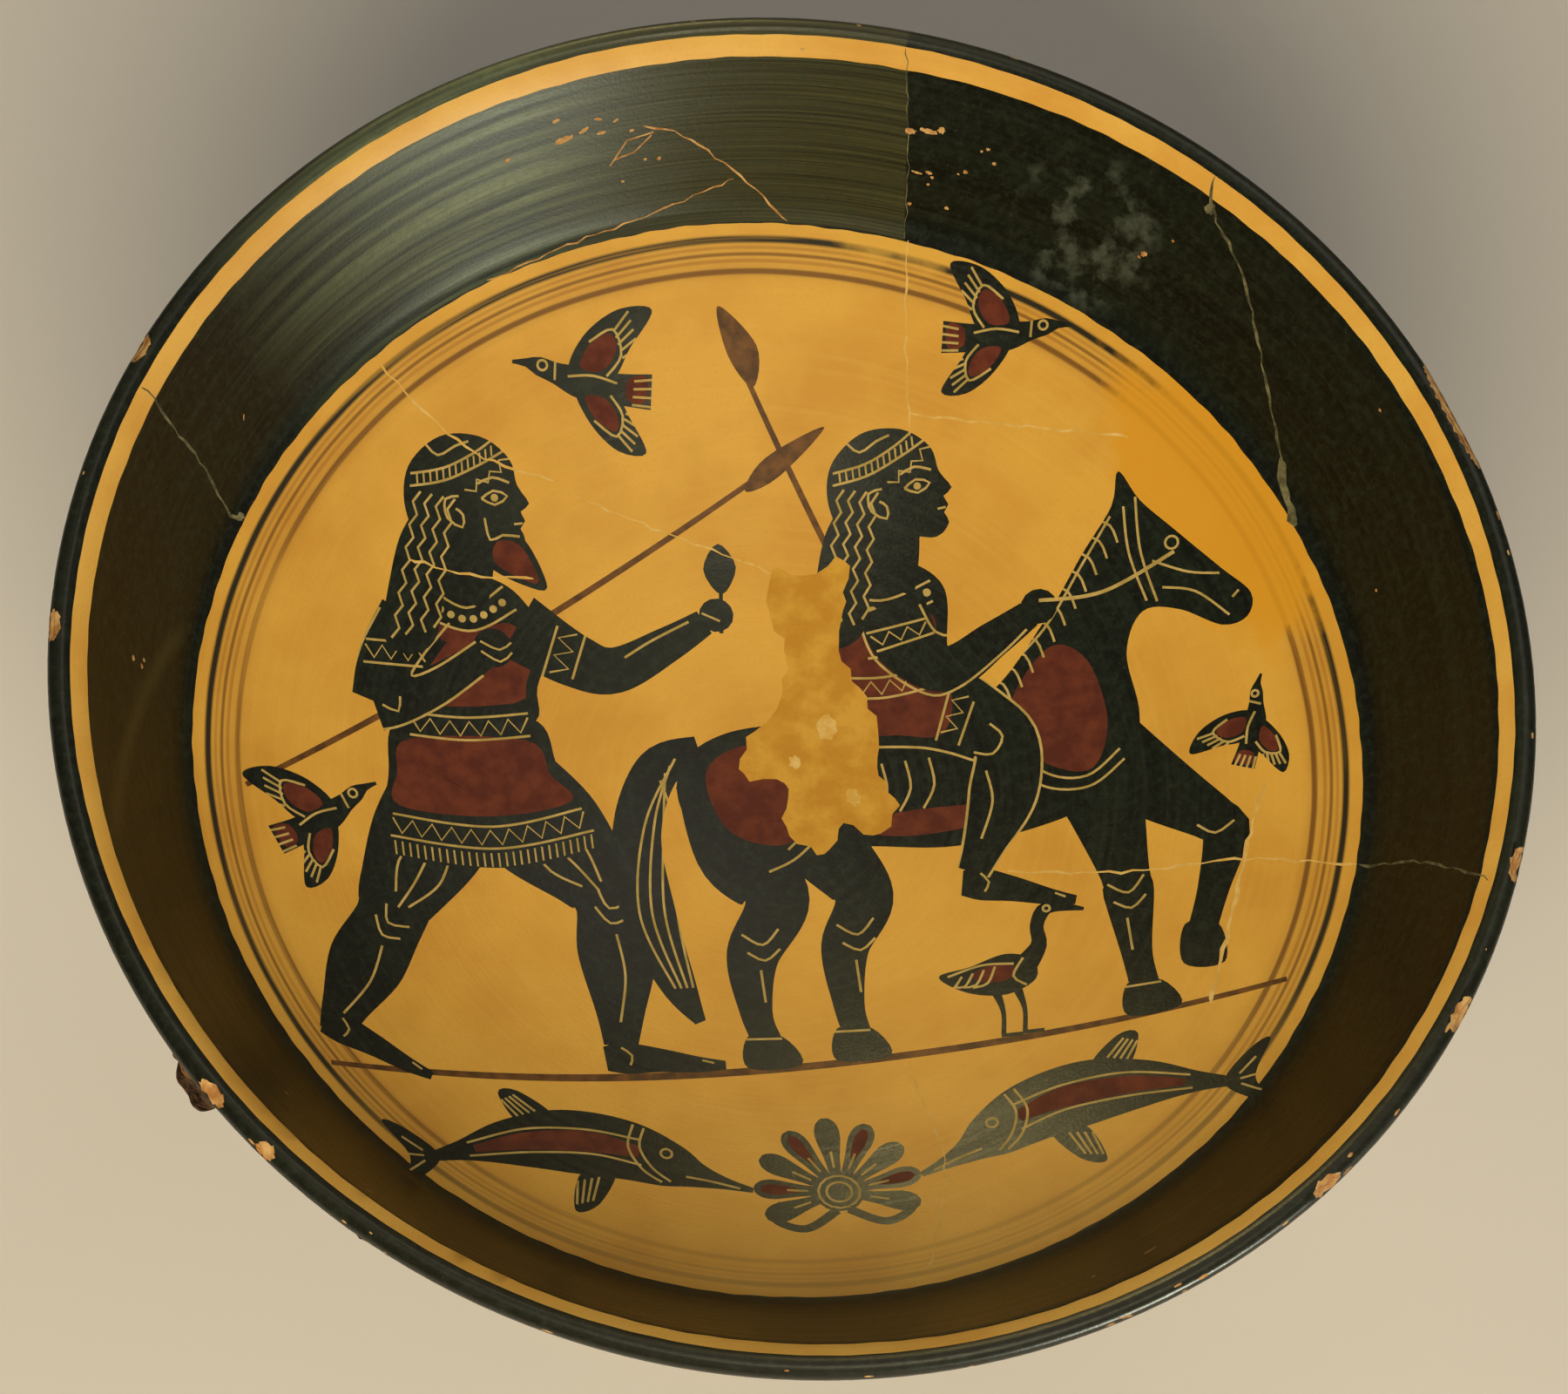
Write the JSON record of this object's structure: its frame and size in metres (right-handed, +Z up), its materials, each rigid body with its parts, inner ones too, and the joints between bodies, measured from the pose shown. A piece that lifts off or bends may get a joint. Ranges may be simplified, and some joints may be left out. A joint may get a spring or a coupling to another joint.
{
  "type": "kylix cup",
  "caption": "Wide shallow drinking cup of fired clay with an offset lip, on a high stem and a disc foot, its loop handles broken away.",
  "frame": {"origin": "middle of the foot, on the surface that the cup stands on", "axes": "+Z up along the stem; +Y towards the top of the picture inside the bowl"},
  "size_m": [0.194, 0.194, 0.126],
  "materials": {
    "black_gloss_clay": "satin black slip gloss, with orange clay where it is reserved"
  },
  "bodies": {
    "root": {"cup": "black_gloss_clay"}
  },
  "joints": []
}
